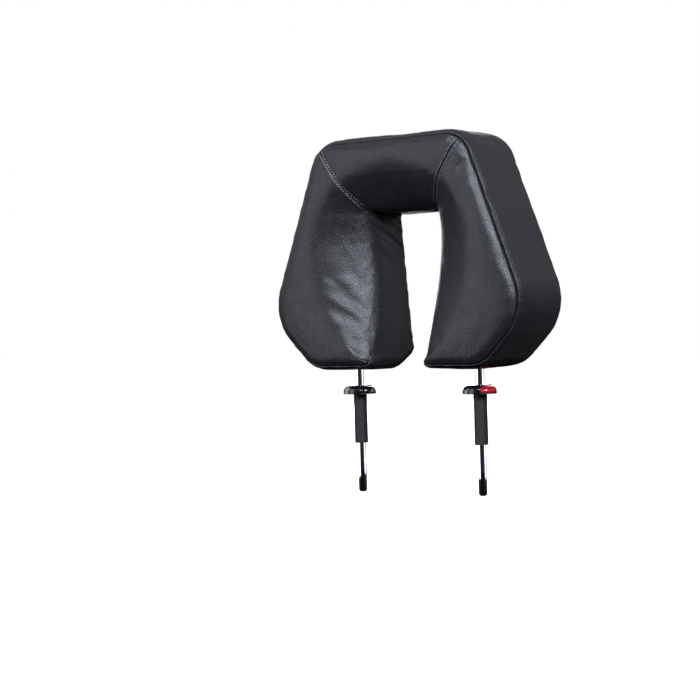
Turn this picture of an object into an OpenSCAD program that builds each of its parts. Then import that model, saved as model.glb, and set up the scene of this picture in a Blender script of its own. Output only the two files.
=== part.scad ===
// Height-adjustable headrest attachment for a client chair: an upholstered
// horseshoe pad on a bent steel rod, carried in two plastic guides.
// Origin: midway between the two posts on the chair's top face.
// +Z up, +X towards the release button, the padded front faces -Y.

/* [Pad outline] */
// Widest width across both wings
pad_w = 340; // [320:1:420]
// Height of the pad, foot to top edge
pad_h = 272; // [250:1:330]
// Depth of the pad, front seam to back seam
pad_d = 110; // [95:1:140]
// Gap between the chair's top face and the pad's feet
pad_gap = 33; // [26:1:60]
// Radius of the two top corners
top_r = 38; // [20:1:44]
// Straight length of the top edge between its corner arcs
top_flat = 153; // [110:1:170]
// Radius of the wings at their widest
wing_r = 62; // [45:1:70]
// Height of the wings' widest point above the feet
wing_rise = 77; // [70:1:110]
// Radius of the outer corner of each foot
foot_r = 40; // [20:1:46]
// Distance between the centres of the two outer foot corners
foot_span = 205; // [190:1:230]

/* [Slot] */
// Width of the slot at its top
slot_top_w = 96; // [80:1:110]
// Width of the slot at its mouth, between the feet
slot_foot_w = 70; // [50:1:80]
// Height of the slot above the feet
slot_h = 187; // [160:1:200]
// Radius of the slot's top corners
slot_r = 5; // [3:0.5:12]
// Radius of the inner corner of each foot
toe_r = 10; // [6:0.5:16]

/* [Dish] */
// Half width of the dished face recess
dish_half_w = 105; // [90:1:115]
// Deepest point of the recess behind the front seam
dish_depth = 30; // [15:1:34]
// Height of the recess centre above the feet
dish_rise = 147; // [120:1:170]
// Reach of the recess above its centre
dish_up = 96; // [70:1:105]
// Reach of the recess below its centre
dish_down = 150; // [120:1:170]
// Share of that reach over which the recess deepens
dish_wall = 0.62; // [0.5:0.01:0.8]
// How much the recess steepens towards its rim
dish_flare = 0.2; // [0:0.05:0.5]
// How far the padded front swells past its seam
crown = 6; // [0:0.5:9]

/* [Cover and core] */
// Thickness of the faux leather
cover_t = 1.4; // [1:0.1:2.5]
// Room between the cover and the foam
cover_gap = 0.2; // [0.1:0.05:0.5]
// Thickness of the plywood board
board_t = 12; // [9:1:15]
// How far the board's edge stays inside the cover
board_inset = 3; // [2:0.5:10]
// Thickness of the firm foam in front of the rod
base_web = 7; // [5:0.5:9]

/* [Rod and saddles] */
// Radius of the steel rod
rod_r = 5; // [4.5:0.25:6.5]
// Distance between the two posts
post_span = 170; // [140:1:205]
// Inner bend radius of the rod, at its centre line
bend_r = 28; // [20:1:40]
// Height of the cross bar below the pad's top edge
bar_drop = 42; // [34:1:48]
// Length of the posts below the chair's top face
post_reach = 120; // [112:1:160]
// Pitch of the height notches
notch_pitch = 10; // [8:0.5:12]
// Number of notches below the one in use
notches_below = 5; // [3:1:5]
// Number of notches above the one in use
notches_above = 1; // [0:1:1]
// Depth of a notch
notch_depth = 1.2; // [0.8:0.1:1.6]
// Height of a notch
notch_h = 3; // [2.8:0.1:4]
// Thickness of a saddle's strap
strap_t = 1.5; // [1:0.1:2]
// Width of a saddle along the rod
saddle_w = 16; // [14:0.5:20]
// Distance between a saddle's two screws
saddle_span = 26; // [26:0.5:32]
// Radius of a saddle screw
screw_r = 2.5; // [2:0.25:3]

/* [Guides and caps] */
// Running clearance of the rod in its guide
rod_fit = 0.05; // [0.02:0.01:0.1]
// Wall of the guide sleeve
sleeve_wall = 2.95; // [2.5:0.05:4]
// Length of the sleeve below the chair's top face
sleeve_l = 60; // [50:1:62]
// How much longer a guide cap is than the rod's diameter, along X
cap_over_l = 33; // [33:0.5:42]
// How much wider a guide cap is than the rod's diameter, along Y
cap_over_w = 26; // [24:0.5:34]
// Height of a guide cap
cap_h = 10.5; // [10.5:0.25:13]
// Height of the cap's upright rim below its rounded shoulder
cap_rim = 3; // [2:0.25:4]
// Shell thickness of a cap
cap_t = 1; // [0.8:0.1:1.4]
// How far the cap's top edge comes in over its shoulder
cap_shoulder = 6.5; // [4:0.25:7]
// Thickness of the plate under each cap
plate_t = 1.5; // [1.2:0.1:2]
// Room left between the pressed button and the rod
split_play = 0.8; // [0.4:0.1:1.5]
// Travel of the release button
press = 3.5; // [3:0.1:3.6]
// Radius of the lock pin
pin_r = 1.2; // [1:0.05:1.3]
// Height of the lock pin above the chair's top face
pin_z = 4.5; // [4.3:0.1:5]

/* [Hidden] */
$fn = 48;

leather = "#222429";
foam = "#d8cf9f";
firm_foam = "#b9c3c9";
steel = "#c9ccd0";
black_plastic = "#17181a";

// Pad levels
foot_z = pad_gap;
top_z = foot_z + pad_h;
front_y = -pad_d / 2;
back_y = pad_d / 2;
skin = cover_t + cover_gap;

// Core levels: rod on Y = 0, board behind it, firm foam around it
rod_play = 0.1;
board_y = rod_r + rod_play;
strap_r = rod_r + rod_play + strap_t;
channel_half = strap_r + 1;
pocket = 3;
base_y = -channel_half - base_web;
rear_y = board_y + board_t + cover_gap;
post_x = post_span / 2;
bar_z = top_z - bar_drop;

// Saddles: two on each post, two on the cross bar, each [x, z, angle of the rod run]
saddle_low = foot_z + 42;
saddle_high = foot_z + 130;
saddle_bar_x = 32;
saddles = [for (s = [-1, 1]) each [[s * post_x, saddle_low, 0], [s * post_x, saddle_high, 0],
    [s * saddle_bar_x, bar_z, 90]]];
screw_play = 0.2;
head_r = 4.4;
head_h = 2.6;
socket_r = 1.6;
nut_barrel_r = 3.4;
nut_flange_r = 8;
nut_flange_t = 1.2;
nut_short = 3;
nut_barrel_l = board_t - nut_short;
ear_l = saddle_span + 2 * head_r + 2;

// Guides
cap_l = 2 * rod_r + cap_over_l;
cap_w = 2 * rod_r + cap_over_w;
split_x = rod_r + press + split_play;
sleeve_ri = rod_r + rod_fit;
sleeve_ro = sleeve_ri + sleeve_wall;
ring_r = 1;
ring_z = -5;
cap_hole_r = rod_r + 0.5;
slide_play = 0.2;
plate_inset = cap_t + 0.1;
head_inset = cap_t + slide_play;
yoke_in = rod_r + 2.2;
yoke_out = yoke_in + 2;
yoke_z0 = plate_t + 0.5;
yoke_h = 4.8;
bridge_x = -(rod_r + pin_r + 3);
bridge_t = 2;
pin_x = -(rod_r - notch_depth + 0.1 + pin_r);
spring_r = 2;
spring_wire_r = 0.3;
spring_turns = 4;
spring_x = -(cap_l / 2 - cap_t - 1.6);
seat_r = spring_r + 1;

// ---- Outline: a belt run around signed circles [x, z, radius] ----
// Positive circles lie inside the pad, negative ones in the slot, so insetting the
// outline by d takes d off every signed radius.
arc_n = 8;
half_circles = [
    [top_flat / 2, top_z - top_r, top_r],
    [pad_w / 2 - wing_r, foot_z + wing_rise, wing_r],
    [foot_span / 2, foot_z + foot_r, foot_r],
    [slot_foot_w / 2 + toe_r, foot_z + toe_r, toe_r],
    [slot_top_w / 2 - slot_r, foot_z + slot_h - slot_r, -slot_r]];

function flip(p) = [-p[0], p[1]];
function reverse(l) = [for (i = [len(l) - 1:-1:0]) l[i]];
function circles(d) = let (r = [for (c = half_circles) [c[0], c[1], c[2] - d]])
    concat(r, [for (c = reverse(r)) [-c[0], c[1], c[2]]]);
// Angle of the belt's inward normal on its run from circle a to circle b
function run_angle(a, b) = atan2(b[1] - a[1], b[0] - a[0])
    + asin((b[2] - a[2]) / norm([b[0] - a[0], b[1] - a[1]])) - 90;
function wrap(a) = a - 360 * round(a / 360);
function arc(p, c, q) = let (a0 = run_angle(p, c), turn = wrap(run_angle(c, q) - a0))
    [for (k = [0:arc_n]) [c[0] - c[2] * cos(a0 + turn * k / arc_n),
        c[1] - c[2] * sin(a0 + turn * k / arc_n)]];
function arcs(d) = let (c = circles(d), n = len(c))
    [for (i = [0:n - 1]) arc(c[(i + n - 1) % n], c[i], c[(i + 1) % n])];
function outline(d) = [for (a = arcs(d)) each a];

// Halves of a corner's arc, before and after its middle
mid = arc_n / 2;
function first_half(a) = [for (i = [0:mid]) a[i]];
function second_half(a) = [for (i = [mid:arc_n]) a[i]];

// ---- Panels: Coons patches between the middles of the corner arcs ----
function lengths(p) = [for (i = 0, s = 0; i < len(p);
    s = s + (i + 1 < len(p) ? norm(p[i + 1] - p[i]) : 0), i = i + 1) s];
function evenly(p, n) = let (s = lengths(p), last = s[len(s) - 1],
    xs = [for (i = [0:len(p) - 1]) [s[i], p[i][0]]], zs = [for (i = [0:len(p) - 1]) [s[i], p[i][1]]])
    [for (k = [0:n]) [lookup(last * k / n, xs), lookup(last * k / n, zs)]];
// Rows run from start to finish, and each row from the near edge to the far edge
function coons(near, far, start, finish) = let (n = len(near) - 1, m = len(start) - 1)
    [for (i = [0:n]) let (u = i / n) [for (j = [0:m]) let (v = j / m)
        (1 - v) * near[i] + v * far[i] + (1 - u) * start[j] + u * finish[j]
        - (1 - u) * (1 - v) * start[0] - (1 - u) * v * start[m]
        - u * (1 - v) * finish[0] - u * v * finish[m]]];

wing_rows = 16;
top_rows = 12;
across = 8;
function wing_grid(d) = let (a = arcs(d),
    outer = evenly(concat(second_half(a[0]), a[1], first_half(a[2])), wing_rows),
    foot = evenly(reverse(concat(second_half(a[2]), first_half(a[3]))), across),
    inner = evenly(reverse(concat(second_half(a[3]), first_half(a[4]))), wing_rows),
    mitre = evenly([inner[0], outer[0]], across))
    coons(inner, outer, mitre, foot);
function top_grid(d) = let (a = arcs(d),
    edge = evenly(concat(second_half(a[9]), first_half(a[0])), top_rows),
    slot = evenly(reverse(concat(second_half(a[4]), first_half(a[5]))), top_rows))
    coons(slot, edge, evenly([slot[0], edge[0]], across),
        evenly([slot[top_rows], edge[top_rows]], across));
function flip_grid(g) = [for (row = reverse(g)) [for (p = row) flip(p)]];

// ---- Front face: padded crown with an egg-shaped dish ----
function dish(p) = let (dz = p[1] - foot_z - dish_rise,
    e = norm([p[0] / dish_half_w, dz / (dz > 0 ? dish_up : dish_down)]),
    t = max(0, min(1, (1 - e) / dish_wall)))
    dish_depth * t * (1 + dish_flare * (1 - t));
function swell(v, end) = crown * (1 - pow(2 * v - 1, 4)) * (1 - pow(end, 8));
// end runs from 0 at the mitre to 1 at the foot of a wing
function lift(g, ends, back) = [for (i = [0:len(g) - 1]) [for (j = [0:across])
    [g[i][j][0], front_y + dish(g[i][j]) - swell(j / across, ends[i]) + back, g[i][j][1]]]];
wing_ends = [for (i = [0:wing_rows]) i / wing_rows];
top_ends = [for (i = [0:top_rows]) 0];
function flat(g, y) = [for (row = g) [for (p = row) [p[0], y, p[1]]]];

// Closed solid between two grids of the same size, front one first
module between(front, back) {
    n = len(front);
    m = len(front[0]);
    step = n * m;
    function quad(a, b, c, d) = [[a, b, c], [a, c, d]];
    faces = concat(
        [for (i = [0:n - 2], j = [0:m - 2]) each quad(i * m + j, i * m + j + 1,
            (i + 1) * m + j + 1, (i + 1) * m + j)],
        [for (i = [0:n - 2], j = [0:m - 2]) each quad(step + i * m + j, step + (i + 1) * m + j,
            step + (i + 1) * m + j + 1, step + i * m + j + 1)],
        [for (i = [0:n - 2]) each quad(i * m, (i + 1) * m, step + (i + 1) * m, step + i * m)],
        [for (i = [0:n - 2]) each quad((i + 1) * m + m - 1, i * m + m - 1,
            step + i * m + m - 1, step + (i + 1) * m + m - 1)],
        [for (j = [0:m - 2]) each quad(j + 1, j, step + j, step + j + 1)],
        [for (j = [0:m - 2]) each quad((n - 1) * m + j, (n - 1) * m + j + 1,
            step + (n - 1) * m + j + 1, step + (n - 1) * m + j)]);
    polyhedron(points = concat([for (row = front) each row], [for (row = back) each row]),
        faces = faces);
}

// Plate of a flat XZ shape, from y0 to y1
module plate(y0, y1) {
    translate([0, y1, 0])
        rotate([90, 0, 0])
            linear_extrude(height = y1 - y0)
                children();
}

// ---- Guides ----
module guide_sleeve(x) {
    color(black_plastic)
        translate([x, 0, 0])
            difference() {
                union() {
                    translate([0, 0, -sleeve_l])
                        cylinder(r = sleeve_ro, h = sleeve_l + plate_t);
                    linear_extrude(height = plate_t)
                        polygon(oval(plate_inset));
                }
                translate([0, 0, -sleeve_l - 1])
                    cylinder(r = sleeve_ri, h = sleeve_l + plate_t + 2);
                translate([0, 0, ring_z - ring_r - 0.1])
                    cylinder(r = rod_r + 2 * ring_r + 0.2, h = 2 * ring_r + 0.2);
            }
}

module rattle_ring(x) {
    color("#2b2b2b")
        translate([x, 0, ring_z])
            rotate_extrude()
                translate([rod_r + ring_r + 0.1, 0])
                    circle(r = ring_r, $fn = 24);
}

// Oval of the cap inset by d
oval_n = 48;
function oval(d) = [for (k = [0:oval_n - 1]) let (a = 360 * k / oval_n)
    [(cap_l / 2 - d) * cos(a), (cap_w / 2 - d) * sin(a)]];

// Domed cap shape, inset by d: upright rim, then a rounded shoulder to a flat top
shoulder_n = 6;
module dome(d) {
    rise = cap_h - cap_rim - d;
    levels = concat([[0, 0]], [for (k = [0:shoulder_n]) let (a = 90 * k / shoulder_n)
        [cap_rim + rise * sin(a), cap_shoulder * (1 - cos(a))]]);
    n = len(levels);
    rings = [for (l = levels) [for (p = oval(d + l[1])) [p[0], p[1], l[0]]]];
    walls = [for (i = [0:n - 2], k = [0:oval_n - 1]) let (q = (k + 1) % oval_n)
        each [[i * oval_n + k, (i + 1) * oval_n + k, (i + 1) * oval_n + q],
            [i * oval_n + k, (i + 1) * oval_n + q, i * oval_n + q]]];
    polyhedron(points = [for (r = rings) each r],
        faces = concat(walls, [[for (k = [0:oval_n - 1]) k]],
            [reverse([for (k = [0:oval_n - 1]) (n - 1) * oval_n + k])]));
}

module cap_shell() {
    difference() {
        dome(0);
        translate([0, 0, -0.01])
            dome(cap_t);
        translate([split_x, -cap_w, -1])
            cube([cap_l, 2 * cap_w, cap_h + 2]);
        cylinder(r = cap_hole_r, h = cap_h + 1);
    }
}

module cap_housing_left() {
    color(black_plastic)
        translate([-post_x, 0, 0])
            cap_shell();
}

// The locking side has a boss on its end wall that seats the button's spring
module cap_housing_right() {
    color(black_plastic)
        translate([post_x, 0, 0]) {
            cap_shell();
            intersection() {
                dome(cap_t / 2);
                translate([-cap_l / 2, 0, pin_z])
                    rotate([0, 90, 0])
                        cylinder(r = seat_r, h = spring_x + cap_l / 2);
            }
        }
}

// The part of the dome past the split, small enough to slide into the housing
module button_head() {
    intersection() {
        dome(head_inset);
        translate([split_x, -cap_w, plate_t + slide_play])
            cube([cap_l, 2 * cap_w, cap_h]);
    }
}

module blank_button_left() {
    color(black_plastic)
        translate([-post_x, 0, 0])
            button_head();
}

module release_button() {
    color("#b3121d")
        translate([post_x, 0, 0])
            difference() {
                union() {
                    button_head();
                    for (y = [-yoke_out, yoke_in])
                        translate([bridge_x - bridge_t, y, yoke_z0])
                            cube([split_x + 1 - bridge_x + bridge_t, yoke_out - yoke_in, yoke_h]);
                    translate([bridge_x - bridge_t, -yoke_out, yoke_z0])
                        cube([bridge_t, 2 * yoke_out, yoke_h]);
                }
                translate([pin_x, yoke_out + 1, pin_z])
                    rotate([90, 0, 0])
                        cylinder(r = pin_r + 0.01, h = 2 * yoke_out + 2);
            }
}

module lock_pin() {
    color(steel)
        translate([post_x + pin_x, yoke_out, pin_z])
            rotate([90, 0, 0])
                cylinder(r = pin_r, h = 2 * yoke_out);
}

// Compression spring between the housing's end wall and the button's bridge
module button_spring() {
    sides = 6;
    steps = 12 * spring_turns;
    x0 = spring_x + spring_wire_r + 0.1;
    x1 = bridge_x - bridge_t - spring_wire_r - 0.1;
    pts = [for (i = [0:steps]) let (a = 360 * i / 12)
        each [for (k = [0:sides - 1]) let (b = 360 * k / sides, r = spring_r + spring_wire_r * cos(b))
            [x0 + (x1 - x0) * i / steps + spring_wire_r * sin(b), r * cos(a), r * sin(a)]]];
    walls = [for (i = [0:steps - 1], k = [0:sides - 1]) let (q = (k + 1) % sides)
        each [[i * sides + k, i * sides + q, (i + 1) * sides + q],
            [i * sides + k, (i + 1) * sides + q, (i + 1) * sides + k]]];
    color(steel)
        translate([post_x, 0, pin_z])
            polyhedron(points = pts, faces = concat(walls,
                [reverse([for (k = [0:sides - 1]) k])], [[for (k = [0:sides - 1]) steps * sides + k]]));
}

// ---- Rod, board and fixings ----
module post() {
    tip = 2;
    translate([0, 0, -post_reach + tip])
        cylinder(r = rod_r, h = post_reach - tip + bar_z - bend_r);
    translate([0, 0, -post_reach])
        cylinder(r1 = rod_r - 1.5, r2 = rod_r, h = tip);
}

// Places a quarter turn about Z at each of the rod's two bends
module at_bends() {
    for (s = [-1, 1])
        translate([s * (post_x - bend_r), 0, bar_z - bend_r])
            rotate([90, 0, s > 0 ? 0 : 180])
                children();
}

module frame_rod() {
    color(steel)
        difference() {
            union() {
                for (s = [-1, 1])
                    translate([s * post_x, 0, 0])
                        post();
                at_bends()
                    rotate_extrude(angle = 90)
                        translate([bend_r, 0])
                            circle(r = rod_r);
                translate([-(post_x - bend_r), 0, bar_z])
                    rotate([0, 90, 0])
                        cylinder(r = rod_r, h = 2 * (post_x - bend_r));
            }
            for (k = [-notches_below:notches_above])
                translate([post_x - rod_r - 1, -rod_r - 1, pin_z + k * notch_pitch - notch_h / 2])
                    cube([1 + notch_depth, 2 * rod_r + 2, notch_h]);
        }
}

// Places children at each saddle's screws, axis along -Y
module at_screws(y) {
    for (p = saddles, s = [-1, 1])
        translate([p[0], y, p[1]])
            rotate([0, p[2], 0])
                translate([s * saddle_span / 2, 0, 0])
                    rotate([90, 0, 0])
                        children();
}

module backing_board() {
    color("#caa66f")
        difference() {
            plate(board_y, board_y + board_t)
                polygon(outline(cover_t + board_inset));
            at_screws(board_y + board_t + 1)
                cylinder(r = nut_barrel_r + 0.05, h = board_t + 2);
        }
}

module saddle() {
    difference() {
        union() {
            translate([0, 0, -saddle_w / 2])
                cylinder(r = strap_r, h = saddle_w);
            translate([-ear_l / 2, board_y - strap_t, -saddle_w / 2])
                cube([ear_l, strap_t, saddle_w]);
        }
        translate([0, 0, -saddle_w])
            cylinder(r = rod_r + rod_play, h = 2 * saddle_w);
        translate([-strap_r - 1, board_y, -saddle_w])
            cube([2 * strap_r + 2, strap_r + 1, 2 * saddle_w]);
        translate([-rod_r - rod_play, 0, -saddle_w])
            cube([2 * (rod_r + rod_play), board_y + 1, 2 * saddle_w]);
        for (s = [-1, 1])
            translate([s * saddle_span / 2, board_y + 1, 0])
                rotate([90, 0, 0])
                    cylinder(r = screw_r + screw_play, h = strap_t + 2);
    }
}

module rod_saddles() {
    color(steel)
        for (p = saddles)
            translate([p[0], 0, p[1]])
                rotate([0, p[2], 0])
                    saddle();
}

module saddle_screws() {
    color("#8f9396")
        at_screws(board_y - strap_t)
            difference() {
                union() {
                    cylinder(r = head_r, h = head_h);
                    translate([0, 0, -strap_t - board_t + 1])
                        cylinder(r = screw_r, h = strap_t + board_t);
                }
                translate([0, 0, head_h - 1.5])
                    cylinder(r = socket_r, h = 2, $fn = 6);
            }
}

module tee_nuts() {
    color("#b9a76a")
        at_screws(board_y + board_t)
            difference() {
                union() {
                    translate([0, 0, -nut_flange_t / 2])
                        cylinder(r = nut_barrel_r, h = nut_barrel_l + nut_flange_t / 2);
                    translate([0, 0, -nut_flange_t])
                        cylinder(r = nut_flange_r, h = nut_flange_t);
                }
                translate([0, 0, -nut_flange_t - 1])
                    cylinder(r = screw_r + 0.05, h = nut_barrel_l + nut_flange_t + 3);
            }
}

// Trims children where a grid's straight steps would cut across a rounded corner
module inside_bands() {
    intersection() {
        children();
        plate(front_y - crown - 1, back_y)
            polygon(outline(cover_t + cover_gap / 4));
    }
}

// ---- Foam ----
// Firm sheet in front of the rod's channels
module base_foam() {
    color(firm_foam)
        plate(base_y, -channel_half)
            polygon(outline(skin));
}

// Firm foam round the rod, cut out for the rod and its saddles
module channel_foam() {
    cut = channel_half + 1;
    color(firm_foam)
        difference() {
            plate(-channel_half, board_y - rod_play / 2)
                polygon(outline(skin));
            for (s = [-1, 1])
                translate([s * post_x - channel_half, -cut, foot_z - 10])
                    cube([2 * channel_half, 2 * cut, bar_z + channel_half - foot_z + 10]);
            translate([-post_x, -cut, bar_z - channel_half])
                cube([2 * post_x, 2 * cut, 2 * channel_half]);
            at_bends()
                rotate_extrude(angle = 90)
                    translate([bend_r, 0])
                        square([2 * (channel_half - rod_play), 2 * cut], center = true);
            for (p = saddles)
                translate([p[0], 0, p[1]])
                    rotate([0, p[2], 0])
                        translate([-ear_l / 2 - pocket, -cut, -saddle_w / 2 - pocket])
                            cube([ear_l + 2 * pocket, 2 * cut, saddle_w + 2 * pocket]);
        }
}

module front_foam() {
    grid_w = wing_grid(skin);
    grid_t = top_grid(skin);
    left = flip_grid(grid_w);
    middle = [for (i = [1:top_rows - 1]) grid_t[i]];
    grid = concat(left, middle, grid_w);
    ends = concat(reverse(wing_ends), [for (i = [1:top_rows - 1]) 0], wing_ends);
    color(foam)
        inside_bands()
            between(lift(grid, ends, skin), flat(grid, base_y - cover_gap));
}

module rear_foam() {
    color(foam)
        difference() {
            plate(rear_y, back_y - skin)
                polygon(outline(skin));
            at_screws(rear_y + nut_flange_t + 1)
                cylinder(r = nut_flange_r + 0.5, h = nut_flange_t + 3);
        }
}

// ---- Cover ----
module front_panel(grid, ends) {
    color(leather)
        inside_bands()
            between(lift(grid, ends, 0), lift(grid, ends, cover_t));
}

module front_panel_left() {
    front_panel(flip_grid(wing_grid(skin)), reverse(wing_ends));
}

module front_panel_top() {
    front_panel(top_grid(skin), top_ends);
}

module front_panel_right() {
    front_panel(wing_grid(skin), wing_ends);
}

// Boxing strip around the outside, from toe to toe over the top
module side_band() {
    function strip(d) = let (a = arcs(d)) concat(second_half(a[6]), a[7], a[8], a[9], a[0], a[1],
        a[2], first_half(a[3]));
    color(leather)
        difference() {
            plate(front_y, back_y)
                polygon(concat(strip(0), reverse(strip(cover_t))));
            for (s = [-1, 1])
                translate([s * post_x, 0, foot_z - 10])
                    cylinder(r = rod_r + 0.3, h = 40);
        }
}

// Boxing strip round the slot, its front edge following the dish
module slot_band() {
    function strip(d) = let (a = arcs(d)) concat(second_half(a[3]), a[4], a[5], first_half(a[6]));
    function edge_y(p) = front_y + dish(p);
    outer = strip(0);
    inner = strip(cover_t);
    front = [for (i = [0:len(outer) - 1]) [[outer[i][0], edge_y(outer[i]), outer[i][1]],
        [inner[i][0], edge_y(outer[i]), inner[i][1]]]];
    back = [for (i = [0:len(outer) - 1]) [[outer[i][0], back_y, outer[i][1]],
        [inner[i][0], back_y, inner[i][1]]]];
    color(leather)
        between(reverse(front), reverse(back));
}

module back_panel() {
    color(leather)
        plate(back_y - cover_t, back_y)
            polygon(outline(skin));
}

guide_sleeve(-post_x);  // guide_sleeve_left
guide_sleeve(post_x);  // guide_sleeve_right
cap_housing_left();
cap_housing_right();
blank_button_left();
rattle_ring(-post_x);  // rattle_ring_left
rattle_ring(post_x);  // rattle_ring_right
button_spring();
release_button();
lock_pin();
frame_rod();
backing_board();
rod_saddles();
saddle_screws();
tee_nuts();
base_foam();
channel_foam();
front_foam();
rear_foam();
front_panel_left();
front_panel_top();
front_panel_right();
side_band();
slot_band();
back_panel();
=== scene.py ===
import math

import bmesh
import bpy
import numpy as np
from mathutils import Matrix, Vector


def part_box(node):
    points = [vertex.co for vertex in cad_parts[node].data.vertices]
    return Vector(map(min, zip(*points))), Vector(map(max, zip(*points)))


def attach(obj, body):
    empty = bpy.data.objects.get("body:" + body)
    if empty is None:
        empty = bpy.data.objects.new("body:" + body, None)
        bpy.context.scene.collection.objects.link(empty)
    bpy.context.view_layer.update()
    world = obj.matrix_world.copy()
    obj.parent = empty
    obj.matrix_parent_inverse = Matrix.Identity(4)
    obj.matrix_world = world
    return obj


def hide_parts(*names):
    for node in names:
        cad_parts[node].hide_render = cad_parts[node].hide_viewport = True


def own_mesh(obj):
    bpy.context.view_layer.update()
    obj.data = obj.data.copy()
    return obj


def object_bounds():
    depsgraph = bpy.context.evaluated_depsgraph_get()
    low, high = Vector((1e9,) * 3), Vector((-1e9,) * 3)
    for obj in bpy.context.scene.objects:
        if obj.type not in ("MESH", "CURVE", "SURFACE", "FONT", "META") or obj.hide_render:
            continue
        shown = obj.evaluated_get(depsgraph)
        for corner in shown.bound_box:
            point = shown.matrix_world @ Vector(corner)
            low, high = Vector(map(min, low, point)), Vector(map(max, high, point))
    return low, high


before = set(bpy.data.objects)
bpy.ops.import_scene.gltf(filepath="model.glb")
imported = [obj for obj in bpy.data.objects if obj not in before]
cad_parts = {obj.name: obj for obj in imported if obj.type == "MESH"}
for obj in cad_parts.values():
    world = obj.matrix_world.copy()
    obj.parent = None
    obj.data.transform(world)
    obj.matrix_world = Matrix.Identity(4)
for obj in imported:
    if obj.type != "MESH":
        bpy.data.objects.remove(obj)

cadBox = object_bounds()
mm = 0.001


def clamp01(t):  # t held between 0 and 1
    return np.clip(t, 0.0, 1.0)


def smoothStep(t):  # 3t^2 - 2t^3 between 0 and 1
    t = clamp01(t)
    return t * t * (3.0 - 2.0 * t)


def bell(distance, width):  # exp(-(distance / width)^2)
    return np.exp(-(distance / width) ** 2)


def unit(v):  # v divided by its length, along the last axis
    return v / np.maximum(np.linalg.norm(v, axis=-1, keepdims=True), 1e-12)


# Sum of sines with unrelated wavelengths, each 0.62 times as long and 0.72 times as high as the one
# before: a smooth wander between about -1 and 1
def wander(t, seed, longest, count):
    draw = np.random.default_rng(seed)
    total = np.zeros_like(t)
    for k in range(count):
        wavelength = longest * 0.62 ** k * draw.uniform(0.85, 1.15)
        total = total + 0.72 ** k * np.sin(2 * math.pi * t / wavelength + draw.uniform(0, 6.28))
    return total / 2.2


# The same over a plane: sines along turned directions, each 0.72 times as long and 0.6 times as high
def wander2(x, z, seed, longest, count):
    draw = np.random.default_rng(seed)
    total = np.zeros_like(x)
    for k in range(count):
        wavelength = longest * 0.72 ** k
        turn = draw.uniform(0, math.pi)
        along = x * math.cos(turn) + z * math.sin(turn)
        total = total + 0.6 ** k * np.sin(2 * math.pi * along / wavelength + draw.uniform(0, 6.28))
    return total / 1.9


def linear(hexColour):  # sRGB hex to linear red, green, blue, alpha
    channels = [int(hexColour[i:i + 2], 16) / 255 for i in (1, 3, 5)]
    return [c / 12.92 if c <= 0.04045 else ((c + 0.055) / 1.055) ** 2.4 for c in channels] + [1.0]


# Adds a node, sets its sockets and properties by name, and links its inputs. stops are the marks of a
# colour ramp, as (position, colour)
def addNode(tree, kind, links=None, stops=(), **settings):
    node = tree.nodes.new(kind)
    for name, value in settings.items():
        name = name.replace("_", " ") if name.replace("_", " ") in node.inputs else name
        if name in node.inputs:
            node.inputs[name].default_value = value
        else:
            setattr(node, name, value)
    for name, source in (links or {}).items():
        tree.links.new(source, node.inputs[name])
    marks = node.color_ramp.elements if stops else []
    while len(marks) < len(stops):
        marks.new(0.5)
    for mark, (position, colour) in zip(marks, stops):
        mark.position = position
        mark.color = colour
    return node


# Material with its shader's own sockets set by name
def newMaterial(name, **sockets):
    material = bpy.data.materials.new(name)
    material.use_nodes = True
    tree = material.node_tree
    shader = tree.nodes["Principled BSDF"]
    for socket, value in sockets.items():
        shader.inputs[socket.replace("_", " ")].default_value = value
    return material, tree, shader


# Faux leather: embossed vinyl, satin. Pebbles of 1.3 mm, a little coarser than real ones so that they
# show, catch the light as fine speckle; a 9 mm mottle and a 60 mm cloud keep it from looking like paint.
leatherLook = {
    "pebble": 1.3 * mm,
    "pore": 0.5 * mm,
    "mottle": 9 * mm,
    "cloud": 60 * mm,
    "dark": "#111216",
    "light": "#16171b",
    "tint": "#1c1d22",
    "sheen": 0.04,
    "roughness": (0.35, 0.46),
}
noiseSpan = {"From_Min": 0.3, "From_Max": 0.7}  # where most of a noise texture's values lie


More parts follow.
